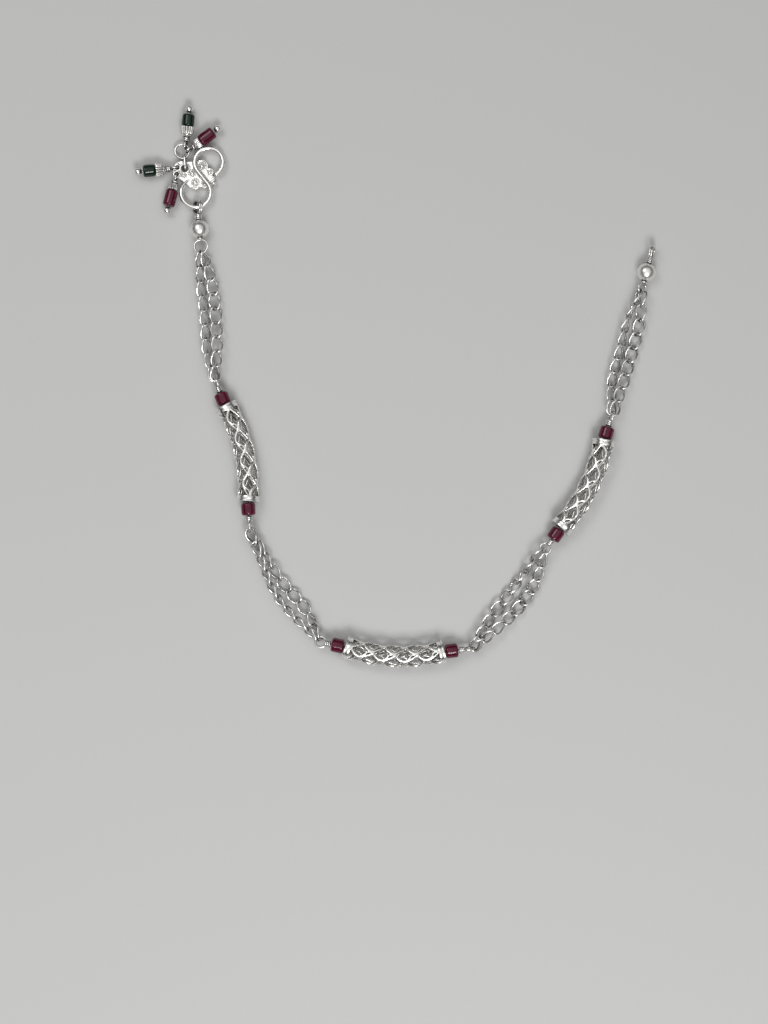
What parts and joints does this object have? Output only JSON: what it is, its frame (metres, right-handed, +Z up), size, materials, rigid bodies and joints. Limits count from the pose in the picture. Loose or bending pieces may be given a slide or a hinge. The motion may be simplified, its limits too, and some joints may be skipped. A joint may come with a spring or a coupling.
{
  "type": "anklet",
  "caption": "Open silver payal anklet laid in a U: S hook with glass drops, paired curb chains, pierced bent tubes, dark pink glass beads, plain balls and an end loop.",
  "frame": {"origin": "middle of the anklet's outline, on the surface it lies on", "axes": "+Z up from the surface; +Y along the longest extent, from the round bottom of the U to the hook; +X from the hook's side to the end loop's side"},
  "size_m": [0.1226, 0.1322, 0.0055],
  "materials": {
    "silver": "polished silver with darker recesses",
    "magenta_glass": "clear dark pink glass",
    "green_glass": "clear dark green glass"
  },
  "bodies": {
    "root": {"s_hook": "silver", "hook_ball": "silver", "hook_ball_wire": "silver", "end_ball": "silver", "end_ball_wire": "silver", "tube_1": "silver", "tube_1_wire": "silver", "tube_1_bead_1": "magenta_glass", "tube_1_bead_2": "magenta_glass", "tube_2": "silver", "tube_2_wire": "silver", "tube_2_bead_1": "magenta_glass", "tube_2_bead_2": "magenta_glass", "tube_3": "silver", "tube_3_wire": "silver", "tube_3_bead_1": "magenta_glass", "tube_3_bead_2": "magenta_glass", "chain_1_outer": "silver", "chain_1_inner": "silver", "chain_2_outer": "silver", "chain_2_inner": "silver", "chain_3_outer": "silver", "chain_3_inner": "silver", "chain_4_outer": "silver", "chain_4_inner": "silver", "drop_1_pin": "silver", "drop_1_cap": "silver", "drop_1_glass": "green_glass", "drop_2_pin": "silver", "drop_2_cap": "silver", "drop_2_glass": "magenta_glass", "drop_3_pin": "silver", "drop_3_cap": "silver", "drop_3_glass": "green_glass", "drop_4_pin": "silver", "drop_4_cap": "silver", "drop_4_glass": "magenta_glass", "drop_ring": "silver", "drop_link": "silver"}
  },
  "joints": []
}
